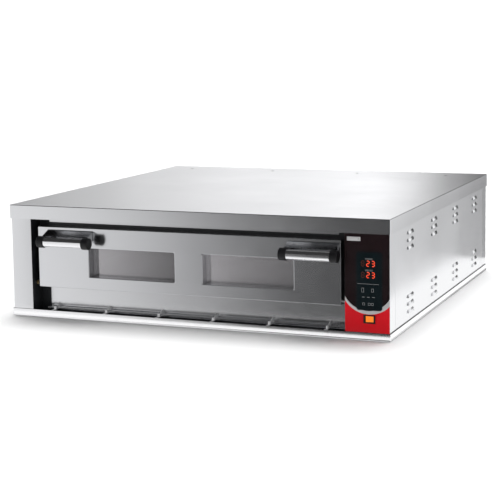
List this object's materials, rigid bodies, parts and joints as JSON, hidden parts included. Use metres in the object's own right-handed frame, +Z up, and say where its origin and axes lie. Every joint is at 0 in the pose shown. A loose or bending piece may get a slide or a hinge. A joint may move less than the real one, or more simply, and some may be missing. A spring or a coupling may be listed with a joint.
{
  "type": "countertop pizza oven",
  "caption": "Wide single-deck electric pizza oven in stainless steel with a bottom-hinged two-window door, two handles and a control panel on the right.",
  "frame": {"origin": "middle of the base tray, on the surface that the oven stands on", "axes": "+Z up, the front with the door faces -Y, +X to the right seen from the front"},
  "size_m": [1.36, 1.4079, 0.386],
  "materials": {
    "brushed_stainless": "satin, brushed along the sheet",
    "bright_stainless": "bright rolled",
    "door_stainless": "fine brushed, slightly reflective",
    "black_enamel": "heat-proof black, semi-gloss",
    "coated_steel": "galvanised sheet",
    "chamber_steel": "aluminised sheet, heat-dulled",
    "screw_steel": "dark plated",
    "mineral_wool": "fibrous wool",
    "refractory": "fired refractory, matte",
    "heater_sheath": "oxidised sheath",
    "lamp_glass": "clear heat-proof glass",
    "lamp_ceramic": "white ceramic",
    "black_plastic": "moulded, fine texture",
    "ivory_plastic": "moulded",
    "black_fascia": "gloss printed film",
    "red_fascia": "gloss printed film",
    "silver_print": "metallic print",
    "display_glass": "polished, smoked",
    "circuit_board": "solder resist",
    "amber_light": "translucent, lit from behind",
    "oven_glass": "tempered, lightly mirrored",
    "seal_rope": "braided glass fibre",
    "bush_bronze": "turned"
  },
  "bodies": {
    "cabinet": {"base_tray": "bright_stainless", "top_cover": "brushed_stainless", "rear_cross_rail": "coated_steel", "casing_screws": "screw_steel", "left_post": "brushed_stainless", "control_housing": "brushed_stainless", "left_side_panel": "brushed_stainless", "right_side_panel": "brushed_stainless", "rear_cover": "brushed_stainless", "left_niche_wall": "black_enamel", "right_niche_wall": "black_enamel", "mouth_frame": "black_enamel", "upper_recess_panel": "brushed_stainless", "sill_panel": "brushed_stainless", "sill_clips": "bright_stainless", "bay_wall": "coated_steel", "chamber_roof": "chamber_steel", "chamber_floor": "chamber_steel", "chamber_left_wall": "chamber_steel", "chamber_right_wall": "chamber_steel", "chamber_back_wall": "chamber_steel", "roof_insulation": "mineral_wool", "floor_insulation": "mineral_wool", "left_insulation": "mineral_wool", "right_insulation": "mineral_wool", "back_insulation": "mineral_wool", "deck_stones": "refractory", "deck_bearers": "chamber_steel", "upper_heaters": "heater_sheath", "lower_heaters": "heater_sheath", "heater_hangers": "chamber_steel", "temperature_probes": "bright_stainless", "lamp_housing": "coated_steel", "lamp_glass": "lamp_glass", "lamp_bulb": "lamp_ceramic", "mounting_plate": "coated_steel", "contactors": "black_plastic", "terminal_block": "ivory_plastic", "cable_gland": "black_plastic", "upper_fascia": "black_fascia", "trim_band": "silver_print", "lower_fascia": "red_fascia", "display_lens": "display_glass", "display_board": "circuit_board", "blank_badge": "silver_print", "switch_bezel": "black_plastic", "hinge_bushes": "bush_bronze"},
    "door": {"door_outer": "door_stainless", "door_inner": "chamber_steel", "door_insulation": "mineral_wool", "window_liners": "door_stainless", "window_glasses": "oven_glass", "door_seal": "seal_rope", "hinge_pins": "bright_stainless", "left_handle_hood": "door_stainless", "right_handle_hood": "door_stainless", "left_handle_bar": "bright_stainless", "right_handle_bar": "bright_stainless", "handle_caps": "black_plastic"},
    "rocker": {"power_rocker": "amber_light"}
  },
  "joints": [
    {"name": "door_hinge", "type": "hinge", "parent": "cabinet", "child": "door", "pos_m": [0, -0.639, 0.113], "axis": [1, 0, 0], "range_deg": [0, 90]},
    {"name": "rocker_pivot", "type": "hinge", "parent": "cabinet", "child": "rocker", "pos_m": [0.61, -0.67, 0.068], "axis": [0, 0, 1], "range_deg": [-16, 0]}
  ]
}
